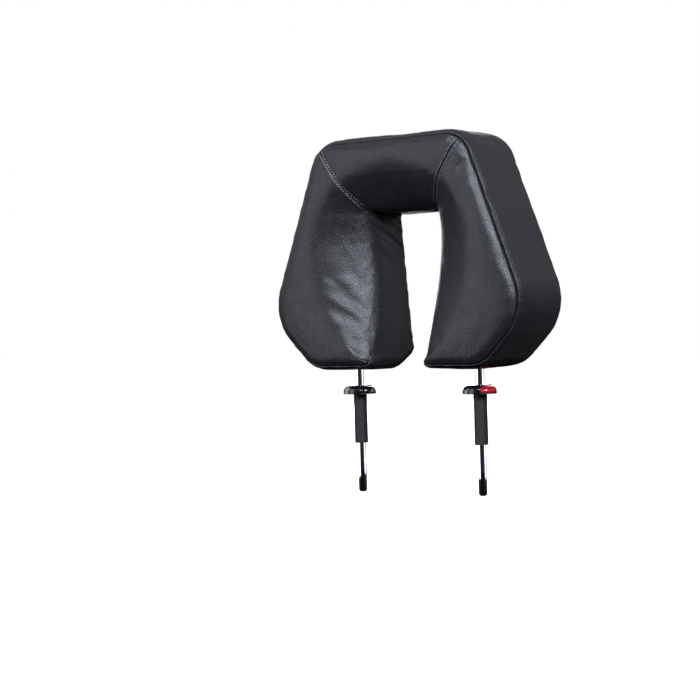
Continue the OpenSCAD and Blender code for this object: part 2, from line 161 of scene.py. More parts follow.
def leatherMaterial():
    material, tree, shader = newMaterial("fauxLeather", Roughness=0.4, IOR=1.5, Sheen_Roughness=0.5,
                                         Sheen_Weight=leatherLook["sheen"])
    coords = {"Vector": addNode(tree, "ShaderNodeTexCoord").outputs["Object"]}
    pebbles = addNode(tree, "ShaderNodeTexVoronoi", coords, feature="SMOOTH_F1",
                      Scale=1 / leatherLook["pebble"], Smoothness=0.35).outputs["Distance"]
    pores = addNode(tree, "ShaderNodeTexNoise", coords, Scale=1 / leatherLook["pore"], Detail=2.0,
                    Roughness=0.55).outputs["Fac"]
    mottle = addNode(tree, "ShaderNodeTexNoise", coords, Scale=1 / leatherLook["mottle"], Detail=4.0,
                     Roughness=0.6).outputs["Fac"]
    cloud = addNode(tree, "ShaderNodeTexNoise", coords, Scale=1 / leatherLook["cloud"], Detail=2.0,
                    Roughness=0.55).outputs["Fac"]
    base = addNode(tree, "ShaderNodeValToRGB", {"Fac": cloud}, [
        (0.3, linear(leatherLook["dark"])), (0.7, linear(leatherLook["light"]))])
    # a Mix node's colours are its sockets 6 and 7, and its output 2
    tint = addNode(tree, "ShaderNodeMix", {0: mottle, 6: base.outputs["Color"]}, data_type="RGBA",
                   blend_type="MIX")
    tint.inputs[7].default_value = linear(leatherLook["tint"])
    tree.links.new(tint.outputs[2], shader.inputs["Base Color"])
    low, high = leatherLook["roughness"]
    satin = addNode(tree, "ShaderNodeMapRange", {"Value": mottle}, To_Min=low, To_Max=high, **noiseSpan)
    tree.links.new(satin.outputs["Result"], shader.inputs["Roughness"])
    below = {}
    for height, strength, depth in ((pores, 0.3, 0.12 * mm), (pebbles, 0.75, 0.3 * mm),
                                    (mottle, 0.4, 0.5 * mm)):
        relief = addNode(tree, "ShaderNodeBump", {"Height": height, **below}, Strength=strength,
                         Distance=depth)
        below = {"Normal": relief.outputs["Normal"]}
    tree.links.new(below["Normal"], shader.inputs["Normal"])
    return material


# One recipe for thread, metal, plastic, rubber and wood: two close colours mixed by a noise of the given
# grain, a roughness that wanders with it, and a bump. stretch draws the grain out along X, Y and Z.
def grainMaterial(name, dark, light, grain, roughness, height=0.0, stretch=(1, 1, 1), **sockets):
    material, tree, shader = newMaterial(name, **sockets)
    coords = addNode(tree, "ShaderNodeTexCoord").outputs["Object"]
    coords = addNode(tree, "ShaderNodeMapping", {"Vector": coords}, Scale=stretch).outputs["Vector"]
    pattern = addNode(tree, "ShaderNodeTexNoise", {"Vector": coords}, Scale=1 / grain, Detail=4.0,
                      Roughness=0.6).outputs["Fac"]
    colour = addNode(tree, "ShaderNodeValToRGB", {"Fac": pattern}, [
        (0.3, linear(dark)), (0.7, linear(light))])
    tree.links.new(colour.outputs["Color"], shader.inputs["Base Color"])
    low, high = roughness
    polish = addNode(tree, "ShaderNodeMapRange", {"Value": pattern}, To_Min=low, To_Max=high, **noiseSpan)
    tree.links.new(polish.outputs["Result"], shader.inputs["Roughness"])
    if height:
        relief = addNode(tree, "ShaderNodeBump", {"Height": pattern}, Strength=0.6, Distance=height)
        tree.links.new(relief.outputs["Normal"], shader.inputs["Normal"])
    return material


# A grid of points, rows by columns, becomes quads; the close flags join the last to the first
def gridFaces(rows, columns, closeRows=False, closeColumns=False, turn=False):
    i = np.arange(rows if closeRows else rows - 1)
    j = np.arange(columns if closeColumns else columns - 1)
    i, j = np.meshgrid(i, j, indexing="ij")
    a = i * columns + j
    b = i * columns + (j + 1) % columns
    c = ((i + 1) % rows) * columns + (j + 1) % columns
    d = ((i + 1) % rows) * columns + j
    return np.stack([a, d, c, b] if turn else [a, b, c, d], -1).reshape(-1, 4)


# Mesh from an array of points and an array of faces that all have the same number of corners
def makeMesh(name, points, faces):
    points = np.ascontiguousarray(points.reshape(-1, 3), np.float32)
    mesh = bpy.data.meshes.new(name)
    size = faces.shape[1]
    mesh.vertices.add(len(points))
    mesh.vertices.foreach_set("co", points.ravel())
    mesh.loops.add(faces.size)
    mesh.loops.foreach_set("vertex_index", faces.ravel().astype(np.int32))
    mesh.polygons.add(len(faces))
    mesh.polygons.foreach_set("loop_start", np.arange(0, faces.size, size, dtype=np.int32))
    mesh.polygons.foreach_set("use_smooth", np.ones(len(faces), bool))
    mesh.update(calc_edges=True)
    mesh.validate()
    return mesh


# Object at the origin that holds such a mesh
def makePiece(name, points, faces, material):
    mesh = makeMesh(name, points, faces)
    mesh.materials.append(material)
    piece = bpy.data.objects.new(name, mesh)
    bpy.context.scene.collection.objects.link(piece)
    return piece


# Puts a piece on its body and hides the CAD nodes that it stands for; the slot is not used
def place(piece, body, slot, *nodes):
    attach(piece, body)
    if nodes:
        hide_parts(*nodes)
    return piece


# Outline of the pad in the XZ plane and the shape of its padding
bandLow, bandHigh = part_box("side_band")
footZ, topZ = bandLow.z, bandHigh.z
frontY, backY = bandLow.y, bandHigh.y

pad = {
    "topRadius": 38 * mm,
    "topFlat": 153 * mm,
    "wingRadius": 62 * mm,
    "wingRise": 77 * mm,
    "halfWidth": bandHigh.x,
    "footRadius": 40 * mm,
    "footSpan": 205 * mm,
    "toeRadius": 10 * mm,
    "slotFoot": 70 * mm,
    "slotTop": 96 * mm,
    "slotHeight": 187 * mm,
    "slotRadius": 5 * mm,
    "dishHalf": 105 * mm,
    "dishDepth": 30 * mm,
    "dishRise": 147 * mm,
    "dishUp": 96 * mm,
    "dishDown": 150 * mm,
    "dishWall": 0.62,
    "dishRim": 0.16,  # softness of the dish's rim, as a share of its wall
    "crown": 5 * mm,
    "crownReach": 13 * mm,
    "bandSwell": 2.5 * mm,
    "slotSwell": 1.2 * mm,
    "swellReach": 14 * mm,
    "backSwell": 3.5 * mm,
    "backReach": 22 * mm,
    "toeLift": 14 * mm,
    "liftStart": 8 * mm,
    "liftBeyond": 5 * mm,  # the lift is full this far past the slot, then dies away over liftWide
    "liftWide": 32 * mm,
    "liftHigh": 25 * mm,
}

# Sewn edges are rolled in and end in a groove; the slot's front edge is only rounded, with no seam
edges = {
    "seamRoll": 14 * mm,
    "seamTuck": 0.24,
    "softRoll": 27 * mm,
    "softTuck": 0.2,
    "tuckLimits": (0.1, 0.3),
    "slopeRun": 4 * mm,  # run over which the dish's slope at the slot's edge is taken
    "weldFade": 5 * mm,
    "groove": 2.9 * mm,
    "grooveShare": 0.75,  # how much of the groove each side of a seam takes
    "mitreShare": 0.5,
    "grooveWidth": 1.0 * mm,
    "lip": 0.45 * mm,
    "lipAt": 2.8 * mm,
    "lipWidth": 1.2 * mm,
    "change": 14 * mm,  # run over which a sewn edge becomes a soft one at the toes
}

# Unevenness of the stuffing and the sewing: seed, longest wave, number of waves, height. A band adds
# its own seed
waves = {
    "front": (3, 120 * mm, 7, 0.5 * mm),
    "back": (8, 150 * mm, 7, 0.6 * mm),
    "band": (0, 110 * mm, 7, 0.7 * mm),
    "frontPucker": (11, 30 * mm, 5, 0.5 * mm),
    "backPucker": (13, 36 * mm, 5, 0.45 * mm),
    "mitrePucker": (21, 17 * mm, 5, 0.45 * mm),
    "bandPucker": (0, 28 * mm, 5, 0.55 * mm),
    "slotGather": (17, 21 * mm, 5, 0.2 * mm),
    "slotCorner": (0, 24 * mm, 3, 1.1 * mm),
}

# How far from a seam the unevenness starts and reaches, the dip along a mitre, and what a soft edge loses
reach = {
    "clear": 2.5 * mm,  # flat beside the groove
    "panelWave": 20 * mm,
    "bandWave": 18 * mm,
    "panelPucker": 9 * mm,
    "mitrePucker": 7 * mm,
    "bandPucker": 11 * mm,
    "slotGather": 36 * mm,
    "slotCorner": 34 * mm,
    "cornerDrop": 16 * mm,  # the wrinkles' middle is this far below the slot's corner
    "mitreDip": 0.9 * mm,
    "mitreDipWidth": 8 * mm,
    "softFront": 0.84,  # share of the puckers that is lost on an edge with no seam
    "softBand": 0.85,
}


# One kind of unevenness: its height times a wander along t, or over the plane of t and u
def ripple(kind, t, u=None, seed=0):
    ownSeed, longest, count, height = waves[kind]
    if u is None:
        return height * wander(t, ownSeed + seed, longest, count)
    return height * wander2(t, u, ownSeed + seed, longest, count)


# Puckers die away from their seam as exp(-distance / far), and start clear of its groove
def seamFade(distance, far):
    return np.exp(-distance / far) * smoothStep(distance / reach["clear"])


# Signed circles [x, z, radius] that the outline's belt runs round, positive inside the pad
def beltCircles():
    right = [
        [pad["topFlat"] / 2, topZ - pad["topRadius"], pad["topRadius"]],
        [pad["halfWidth"] - pad["wingRadius"], footZ + pad["wingRise"], pad["wingRadius"]],
        [pad["footSpan"] / 2, footZ + pad["footRadius"], pad["footRadius"]],
        [pad["slotFoot"] / 2 + pad["toeRadius"], footZ + pad["toeRadius"], pad["toeRadius"]],
        [pad["slotTop"] / 2 - pad["slotRadius"], footZ + pad["slotHeight"] - pad["slotRadius"],
         -pad["slotRadius"]],
    ]
    return right + [[-x, z, r] for x, z, r in right[::-1]]


def tangentAngle(a, b):  # direction of the inward normal on the run from circle a to circle b
    dx, dz = b[0] - a[0], b[1] - a[1]
    return math.atan2(dz, dx) + math.asin((b[2] - a[2]) / math.hypot(dx, dz)) - math.pi / 2


# Points of each corner arc: centre - radius * (cos a, sin a), a turning from one run's normal to the next
def beltArcs(steps=16):
    circles = beltCircles()
    arcs = []
    for i, here in enumerate(circles):
        start = tangentAngle(circles[i - 1], here)
        end = tangentAngle(here, circles[(i + 1) % len(circles)])
        turn = (end - start + math.pi) % (2 * math.pi) - math.pi
        a = start + turn * np.linspace(0, 1, steps + 1)
        arcs.append(np.stack([here[0] - here[2] * np.cos(a), here[1] - here[2] * np.sin(a)], -1))
    return arcs


def eased(count):  # 0 to 1 in count steps, t - 0.8 sin(2 pi t) / (2 pi), so that both ends are fine
    t = np.linspace(0, 1, count + 1)
    return t - 0.8 * np.sin(2 * math.pi * t) / (2 * math.pi)


# Points along a path, by its length, at the shares given
def along(path, shares):
    run = np.concatenate([[0], np.cumsum(np.linalg.norm(np.diff(path, axis=0), axis=1))])
    return np.stack([np.interp(shares * run[-1], run, path[:, k]) for k in range(path.shape[1])], -1)


def firstHalf(arc):  # start of an arc to its middle point
    return arc[:len(arc) // 2 + 1]


def secondHalf(arc):  # middle point of an arc to its end
    return arc[len(arc) // 2:]


# Coons patch: (1-v) near + v far + (1-u) start + u finish - the bilinear blend of the corners
def coons(near, far, start, finish, u, v):
    u, v = u[:, None, None], v[None, :, None]
    sides = (1 - v) * near[:, None] + v * far[:, None] + (1 - u) * start[None] + u * finish[None]
    corners = ((1 - u) * (1 - v) * start[0] + (1 - u) * v * start[-1]
               + u * (1 - v) * finish[0] + u * v * finish[-1])
    return sides - corners


# Steps down a wing, along the top, across a panel and through a band: multiples of the cloth's step
wingRows, topRows, acrossCount, deepCount = 132, 96, 64, 56
arcs = beltArcs()


# Right wing in the plane: the patch between the slot's side, the outline, the mitre and the foot
def wingPlane():
    u, v = eased(wingRows), eased(acrossCount)
    outer = along(np.concatenate([secondHalf(arcs[0]), arcs[1], firstHalf(arcs[2])]), u)
    foot = along(np.concatenate([secondHalf(arcs[2]), firstHalf(arcs[3])])[::-1], v)
    inner = along(np.concatenate([secondHalf(arcs[3]), firstHalf(arcs[4])])[::-1], u)
    mitre = along(np.stack([inner[0], outer[0]]), v)
    return coons(inner, outer, mitre, foot, u, v)


# Top panel in the plane: the patch between the slot's top, the outline's top and the two mitres
def topPlane():
    u, v = eased(topRows), eased(acrossCount)
    edge = along(np.concatenate([secondHalf(arcs[9]), firstHalf(arcs[0])]), u)
    slot = along(np.concatenate([secondHalf(arcs[4]), firstHalf(arcs[5])])[::-1], u)
    left = along(np.stack([slot[0], edge[0]]), v)
    right = along(np.stack([slot[-1], edge[-1]]), v)
    return coons(slot, edge, left, right, u, v)


# Egg-shaped dish: depth * (1.2 t - 0.2 t^2), t how far inside the egg's rim a point is as a share of
# the wall, softened at the rim as (t + sqrt(t^2 + rim^2)) / 2
def dishDepth(x, z):
    dz = z - footZ - pad["dishRise"]
    tall = np.where(dz > 0, pad["dishUp"], pad["dishDown"])
    t = (1 - np.sqrt((x / pad["dishHalf"]) ** 2 + (dz / tall) ** 2)) / pad["dishWall"]
    t = 0.5 * (t + np.sqrt(t * t + pad["dishRim"] ** 2))
    return pad["dishDepth"] * np.minimum(t * (1.2 - 0.2 * t), 1)


def distanceTo(points, a, b):  # distance in the plane from points to the segment from a to b
    ab = b - a
    t = clamp01(((points - a) @ ab) / (ab @ ab))
    return np.linalg.norm(points - a - t[..., None] * ab, axis=-1)


outerPath = np.concatenate([secondHalf(arcs[6]), arcs[7], arcs[8], arcs[9], arcs[0], arcs[1], arcs[2],
                            firstHalf(arcs[3])])
slotPath = np.concatenate([secondHalf(arcs[3]), arcs[4], arcs[5], firstHalf(arcs[6])])
fullPath = np.concatenate([outerPath, slotPath[1:]])
fullRun = np.concatenate([[0], np.cumsum(np.linalg.norm(np.diff(fullPath, axis=0), axis=1))])
slotStart, slotEnd = fullRun[len(outerPath) - 1], fullRun[-1]
mitreOut, mitreIn = arcs[0][len(arcs[0]) // 2], arcs[4][len(arcs[4]) // 2]
mirror = np.array([-1, 1])


# Nearest point of the outline to each point: its distance, the inward normal there and its run length
def nearestOutline(points):
    flat = points.reshape(-1, 2)
    best = np.full(len(flat), 1e9)
    normal = np.zeros_like(flat)
    run = np.zeros(len(flat))
    for k, (a, b) in enumerate(zip(fullPath[:-1], fullPath[1:])):
        ab = b - a
        length = math.hypot(*ab)
        if length < 1e-9:
            continue
        t = clamp01(((flat - a) @ ab) / length ** 2)
        gap = np.linalg.norm(flat - a - t[:, None] * ab, axis=1)
        near = gap < best
        best = np.where(near, gap, best)
        normal[near] = [ab[1] / length, -ab[0] / length]
        run = np.where(near, fullRun[k] + t * length, run)
    shape = points.shape[:-1]
    return best.reshape(shape), normal.reshape(shape + (2,)), run.reshape(shape)


# 1 along the slot's edge and 0 on the sewn outside, with a smooth change past each toe
def softness(run):
    return smoothStep((run - slotStart) / edges["change"]) * smoothStep((slotEnd - run) / edges["change"])


# Rolled edge: tuck * roll * (1 - distance / roll)^2, how far a point moves in and back from the edge
def rollPull(distance, roll, tuck):
    return tuck * roll * clamp01(1 - distance / roll) ** 2


def mixed(sewn, loose, soft):  # sewn + soft (loose - sewn)
    return sewn + soft * (loose - sewn)


def bandRoll(soft):  # roll and tuck of a band's edge
    return (mixed(edges["seamRoll"], edges["softRoll"], soft),
            mixed(edges["seamTuck"], edges["softTuck"], soft))


# On the slot's front edge the face already leans by g, the dish's slope and the crown's together, so
# its tuck is (T - g) / (2 + 2 T), T the lean of the band's edge, and both meet in one smooth bend
def frontRoll(plane, edge, inward, soft):
    rim = plane - inward * edge[..., None]
    far = rim + inward * edges["slopeRun"]
    slope = (dishDepth(rim[..., 0], rim[..., 1]) - dishDepth(far[..., 0], far[..., 1])) / edges["slopeRun"]
    slope = slope + pad["crown"] / pad["crownReach"]
    lean = (1 - 2 * edges["softTuck"]) / (2 * edges["softTuck"] + pad["slotSwell"] / pad["swellReach"])
    tuck = np.clip((lean - slope) / (2 + 2 * lean), *edges["tuckLimits"])
    roll = edges["softTuck"] * edges["softRoll"] / tuck
    return mixed(edges["seamRoll"], roll, soft), mixed(edges["seamTuck"], tuck, soft)


# Seam in section: a bell-shaped groove between two low lips
def seamSection(distance):
    return edges["groove"] * bell(distance, edges["grooveWidth"]) - edges["lip"] * bell(
        distance - edges["lipAt"], edges["lipWidth"])


# Soft folds of the front: [x, z of one end, x, z of the other, half width, depth], all in mm
folds = {
    "wingRidge": [-84, 130, -42, 97, 5.5, 0.9],
    "wingRidgeLow": [-84, 108, -44, 78, 7.0, 0.6],
    "wingCrease": [-70, 150, -42, 126, 6.5, 0.5],
    "wingStreak": [-94, 143, -66, 124, 4.0, 0.4],
    "wingFoot": [-68, 82, -46, 62, 6.0, 0.6],
    "rightSlant": [50, 162, 62, 120, 7.0, 0.5],
    "rightFoot": [44, 84, 66, 62, 6.0, 0.5],
}
foldForm = {
    "sway": 1.5 * mm,  # the line wanders as sway sin(swayRate t + x0)
    "swayRate": 5,
    "overrun": 0.2,  # share of its length that a fold runs past each end
    "fade": 2.5,
    "ridgeAt": 1.5,  # the ridge stands this many half widths beside the furrow
}


# Depth of the folds: across each line a furrow beside a ridge, both bells, fading at the line's ends
def foldDepth(points):
    total = np.zeros(points.shape[:-1])
    for x0, z0, x1, z1, width, depth in folds.values():
        a, b = np.array([x0, z0]) * mm, np.array([x1, z1]) * mm
        ab = b - a
        t = ((points - a) @ ab) / (ab @ ab)
        side = ((points[..., 0] - a[0]) * ab[1] - (points[..., 1] - a[1]) * ab[0]) / math.hypot(*ab)
        side = side + foldForm["sway"] * np.sin(foldForm["swayRate"] * t + x0)
        ends = smoothStep(foldForm["fade"] * (t + foldForm["overrun"])) * smoothStep(
            foldForm["fade"] * (1 + foldForm["overrun"] - t))
        ridge = bell(side - foldForm["ridgeAt"] * width * mm, width * mm) - bell(side, width * mm)
        total = total - depth * mm * ends * ridge
    return total


# Front of the pad over the XZ plane: the seam plane, the dish, the swell of the padding, the rolled
# edges, the seam grooves and the puckers that run in from them
def frontSurface(plane):
    x, z = plane[..., 0], plane[..., 1]
    edge, inward, run = nearestOutline(plane)
    soft = softness(run)
    mitre = np.minimum(distanceTo(plane, mitreIn, mitreOut),
                       distanceTo(plane, mitreIn * mirror, mitreOut * mirror))
    inside = smoothStep(edge / reach["panelWave"])
    y = frontY + dishDepth(x, z) - pad["crown"] * (1 - np.exp(-edge / pad["crownReach"]))
    y = y + foldDepth(plane) * inside ** 0.5 + reach["mitreDip"] * bell(mitre, reach["mitreDipWidth"])
    y = y + ripple("front", x, z) * inside
    y = y + ripple("frontPucker", run) * seamFade(edge, reach["panelPucker"]) * (
        1 - reach["softFront"] * soft)
    y = y + ripple("slotGather", run) * smoothStep(1 - edge / reach["slotGather"]) * inside * soft
    y = y + ripple("mitrePucker", np.abs(x) + z) * seamFade(mitre, reach["mitrePucker"])
    y = y + edges["mitreShare"] * seamSection(mitre)
    pull = rollPull(edge, *frontRoll(plane, edge, inward, soft))
    pull = pull + edges["grooveShare"] * seamSection(edge) * (1 - soft)
    return np.stack([x + inward[..., 0] * pull, y + pull, z + inward[..., 1] * pull], -1)


# Back of the pad: flat with a soft swell, the same rolled and sewn edges
def backSurface(plane):
    x, z = plane[..., 0], plane[..., 1]
    edge, inward, run = nearestOutline(plane)
    y = backY + pad["backSwell"] * (1 - np.exp(-edge / pad["backReach"]))
    y = y + ripple("back", x, z) * smoothStep(edge / reach["panelWave"])
    y = y + ripple("backPucker", run) * seamFade(edge, reach["panelPucker"])
    pull = rollPull(edge, *bandRoll(0)) + edges["grooveShare"] * seamSection(edge)
    return np.stack([x + inward[..., 0] * pull, y - pull, z + inward[..., 1] * pull], -1)


# Boxing strip along a path of the outline, from the front edge to the back seam. Its middle swells
# outward, and its two edges are welded to the panels' edges with a short fade.
def bandSurface(path, frontEdge, backEdge, swell, seed, onSlot):
    inward, run = nearestOutline(path)[1:]
    soft = (softness(run) if onSlot else 0 * run)[:, None]
    y0 = (frontY + (dishDepth(path[:, 0], path[:, 1]) if onSlot else 0 * run))[:, None]
    y = y0 + (backY - y0) * eased(deepCount)[None]
    fromFront, fromBack = y - y0, backY - y
    nearSeam = np.minimum(fromFront, fromBack)
    out = swell * (1 - np.exp(-nearSeam / pad["swellReach"]))
    inside = smoothStep(nearSeam / reach["bandWave"])
    out = out + ripple("band", run[:, None] + 0 * y, y, seed) * inside
    if onSlot:  # wrinkles gather towards the slot's top corners
        corner = np.hypot(np.abs(path[:, 0]) - mitreIn[0],
                          path[:, 1] - mitreIn[1] + reach["cornerDrop"])[:, None]
        slant = run[:, None] * np.sign(path[:, :1]) + 0.5 * y
        out = out + ripple("slotCorner", slant, seed=seed) * bell(corner, reach["slotCorner"]) * inside
    for away, loose, number in ((fromFront, soft, 1), (fromBack, 0 * soft, 2)):
        pucker = ripple("bandPucker", run, seed=seed + number)[:, None]
        out = out + pucker * seamFade(away, reach["bandPucker"]) * (1 - reach["softBand"] * loose)
        out = out - rollPull(away, *bandRoll(loose))
        out = out - edges["grooveShare"] * seamSection(away) * (1 - loose)
    push = rollPull(fromFront, *bandRoll(soft)) - rollPull(fromBack, *bandRoll(0))
    push = push + edges["grooveShare"] * (seamSection(fromFront) * (1 - soft) - seamSection(fromBack))
    points = np.stack([path[:, None, 0] - inward[:, None, 0] * out, y + push,
                       path[:, None, 1] - inward[:, None, 1] * out], -1)
    points = points + (frontEdge - points[:, 0])[:, None] * bell(fromFront, edges["weldFade"])[..., None]
    return points + (backEdge - points[:, -1])[:, None] * bell(fromBack, edges["weldFade"])[..., None]


# The feet's inner corners are drawn up towards the back: a bell over X and Z, growing with Y
def drawToes(grid):
    x, y, z = np.moveaxis(grid, -1, 0)
    depth = smoothStep((y - pad["liftStart"]) / (backY - pad["liftStart"]))
    past = np.maximum(np.abs(x) - pad["slotFoot"] / 2 - pad["liftBeyond"], 0)
    near = bell(past, pad["liftWide"]) * bell(z - footZ, pad["liftHigh"])
    return np.stack([x, y, z + pad["toeLift"] * depth * near], -1)


def flipped(grid):  # mirror in X, rows reversed so that the faces keep their side
    return grid[::-1] * np.array([-1, 1] if grid.shape[-1] == 2 else [-1, 1, 1])


# Every panel of the cover as a grid of points, all sharing the points of their seams
def coverGrids():
    wing = wingPlane()
    planes = {"left": flipped(wing), "top": topPlane(), "right": wing}
    front = {name: frontSurface(plane) for name, plane in planes.items()}
    back = {name: backSurface(plane) for name, plane in planes.items()}

    def outerEdge(g):  # from toe to toe: left foot, left side, top, right side, right foot
        return np.concatenate([g["left"][0], g["left"][1:, -1], g["top"][1:, -1], g["right"][1:, -1],
                               g["right"][-1, ::-1][1:]])

    def slotEdge(g):  # up the left of the slot, along its top and down the right
        return np.concatenate([g["left"][:, 0], g["top"][1:, 0], g["right"][1:, 0]])

    side = bandSurface(outerEdge(planes), outerEdge(front), outerEdge(back), pad["bandSwell"], 31, False)
    slot = bandSurface(slotEdge(planes), slotEdge(front), slotEdge(back), pad["slotSwell"], 47, True)
    whole = np.concatenate([back["left"], back["top"][1:], back["right"][1:]])
    return {"left": front["left"], "top": front["top"], "right": front["right"],
            "side": drawToes(side), "slot": drawToes(slot), "back": drawToes(whole)}


# Panels whose grid has to be turned for its faces to point outwards
facesOut = {"left": True, "top": True, "right": True, "side": True, "slot": False, "back": False}

settle = {
    "coarse": 4,  # every fourth row and column is simulated
    "pressure": 1.2,
    "frames": 16,
    "slack": -0.002,  # the cover is cut a touch larger than the foam, so it eases
    "mass": 0.05,
    "stiffness": {"tension": 25, "compression": 12, "shear": 12, "bending": 1.5},
    "quality": 7,
    "weld": 0.02 * mm,
    "cap": 1.6 * mm,  # a movement m is limited to cap tanh(m / cap)
    "toe": 6,  # coarse rows held fast at each toe, where the slot's free edge becomes a seam
}


# Catmull-Rom weights from count + 1 coarse points to count * step + 1 fine ones
def cubicWeights(count, step):
    t = np.arange(count * step + 1) / step
    i = np.clip(np.floor(t).astype(int), 0, count - 1)
    f = t - i
    parts = [(-f + 2 * f ** 2 - f ** 3) / 2, (2 - 5 * f ** 2 + 3 * f ** 3) / 2,
             (f + 4 * f ** 2 - 3 * f ** 3) / 2, (-f ** 2 + f ** 3) / 2]
    weights = np.zeros((len(t), count + 1))
    for k, part in enumerate(parts):
        np.add.at(weights, (np.arange(len(t)), np.clip(i + k - 1, 0, count)), part)
    return weights


# The cover as one welded coarse shell, held along every seam and free along the slot's front edge,
# swells under pressure and slack. Returns each panel's movement on its full grid.
def settleCover(grids):
    step = settle["coarse"]
    coarse = {name: grid[::step, ::step] for name, grid in grids.items()}
    offsets = np.cumsum([0] + [g.shape[0] * g.shape[1] for g in coarse.values()])
    points = np.concatenate([g.reshape(-1, 3) for g in coarse.values()])
    faces = np.concatenate([gridFaces(*g.shape[:2], turn=facesOut[name]) + start
                            for (name, g), start in zip(coarse.items(), offsets)])
    seams = {name: np.ones(g.shape[:2], bool) for name, g in coarse.items()}
    for name, mask in seams.items():
        mask[1:-1, 1:-1] = False
    toe = settle["toe"]
    seams["left"][toe:-1, 0] = seams["top"][1:-1, 0] = seams["right"][1:-toe, 0] = False
    seams["slot"][toe:-toe, 0] = False
    seams["slot"][[(wingRows + side) // step for side in (0, topRows)], 0] = True
    keys, first, welded = np.unique(np.round(points / settle["weld"]).astype(np.int64), axis=0,
                                    return_index=True, return_inverse=True)
    welded = welded.ravel()
    pinned = np.zeros(len(keys), bool)
    pinned[welded[np.concatenate([m.ravel() for m in seams.values()])]] = True
    shell = makeMesh("coverShell", points[first], welded[faces])
    trial = bpy.data.objects.new("coverShell", shell)
    bpy.context.scene.collection.objects.link(trial)
    group = trial.vertex_groups.new(name="seams")
    group.add(np.flatnonzero(pinned).tolist(), 1.0, "REPLACE")
    cloth = trial.modifiers.new("settle", "CLOTH")
    cloth.settings.quality = settle["quality"]
    cloth.settings.mass = settle["mass"]
    for way, value in settle["stiffness"].items():
        setattr(cloth.settings, way + "_stiffness", value)
    cloth.settings.use_pressure = True
    cloth.settings.uniform_pressure_force = settle["pressure"]
    cloth.settings.shrink_min = settle["slack"]
    cloth.settings.vertex_group_mass = "seams"
    cloth.settings.effector_weights.gravity = 0
    cloth.collision_settings.use_collision = False
    cloth.point_cache.frame_start = 1
    cloth.point_cache.frame_end = settle["frames"]
    for number in range(1, settle["frames"] + 1):
        bpy.context.scene.frame_set(number)
    settled = trial.evaluated_get(bpy.context.evaluated_depsgraph_get()).to_mesh()
    moved = np.empty(len(settled.vertices) * 3, np.float32)
    settled.vertices.foreach_get("co", moved)
    move = moved.reshape(-1, 3) - points[first]
    bpy.data.objects.remove(trial)
    bpy.context.scene.frame_set(1)
    length = np.linalg.norm(move, axis=1, keepdims=True)
    print("cover settled, most it moved in mm:", round(float(length.max()) / mm, 2),
          "mean", round(float(length.mean()) / mm, 2))
    move = move * settle["cap"] * np.tanh(length / settle["cap"]) / np.maximum(length, 1e-9)
    move = move[welded]
    out = {}
    for (name, g), start in zip(coarse.items(), offsets):
        rows, columns = g.shape[:2]
        grid = move[start:start + rows * columns].reshape(rows, columns, 3)
        out[name] = np.einsum("ai,ijc,bj->abc", cubicWeights(rows - 1, step), grid,
                              cubicWeights(columns - 1, step))
    rim = np.concatenate([out["left"][:, 0], out["top"][1:, 0], out["right"][1:, 0]])
    fade = (1 - eased(deepCount))[None, :, None]
    out["slot"] = out["slot"] + (rim - out["slot"][:, 0])[:, None] * fade
    return out


cover = coverGrids()
moves = settleCover(cover)
cover = {name: grid + moves[name] for name, grid in cover.items()}
leather = leatherMaterial()

coverPieces = [
    ("wingPanelLeft", "left", ["front_panel_left"]),
    ("topPanel", "top", ["front_panel_top"]),
    ("wingPanelRight", "right", ["front_panel_right"]),
    ("sideBand", "side", ["side_band"]),
    ("slotBand", "slot", ["slot_band"]),
    ("backPanel", "back", ["back_panel", "front_foam", "base_foam", "channel_foam", "rear_foam"]),
]
for name, key, nodes in coverPieces:
    grid = cover[key]
    piece = makePiece(name, grid, gridFaces(*grid.shape[:2], turn=facesOut[key]), leather)
    place(piece, "headrest", "cover_leather", *nodes)
print("cover ready")

# Lockstitches in two rows beside each mitre seam
stitch = {
    "length": 2.7 * mm,
    "gap": 1.1 * mm,
    "radius": 0.3 * mm,
    "beside": 2.7 * mm,
    "bow": 0.2 * mm,
    "rings": 7,
    "sides": 8,
}


# Curve on a panel's grid at a set distance from its first row, by stepping a share of rows
def beside(grid, distance):
    spacing = np.linalg.norm(np.diff(grid[:16], axis=0), axis=-1).cumsum(axis=0)
    spacing = np.concatenate([np.zeros((1, grid.shape[1])), spacing])
    i = np.argmax(spacing > distance, axis=0)
    j = np.arange(grid.shape[1])
    share = ((distance - spacing[i - 1, j]) / (spacing[i, j] - spacing[i - 1, j]))[:, None]
    return grid[i - 1, j] * (1 - share) + grid[i, j] * share


# Each stitch is a short tube bowed a little off the leather: rings of radius r sqrt(1 - s^4) along it
def stitchRow(path, outward):
    run = np.linalg.norm(np.diff(path, axis=0), axis=1).sum()
    count = int(run / (stitch["length"] + stitch["gap"])) - 2
    s = np.linspace(-1, 1, stitch["rings"])
    middle = (np.arange(count) + 1.5) * (stitch["length"] + stitch["gap"])
    shares = (middle[:, None] + 0.5 * stitch["length"] * s[None]) / run
    centre = along(path, shares.ravel()).reshape(count, stitch["rings"], 3)
    way = unit(centre[:, -1:] - centre[:, :1])
    off = unit(np.broadcast_to(outward, centre.shape))
    across = unit(np.cross(way, off))
    radius = stitch["radius"] * np.sqrt(np.maximum(1 - s ** 4, 0))[None, :, None, None]
    a = np.linspace(0, 2 * math.pi, stitch["sides"], endpoint=False)[None, None, :, None]
    lift = stitch["bow"] * (1 - s ** 2)[None, :, None, None]
    ring = across[:, :, None] * np.cos(a) + off[:, :, None] * np.sin(a)
    return centre[:, :, None] + off[:, :, None] * lift + ring * radius


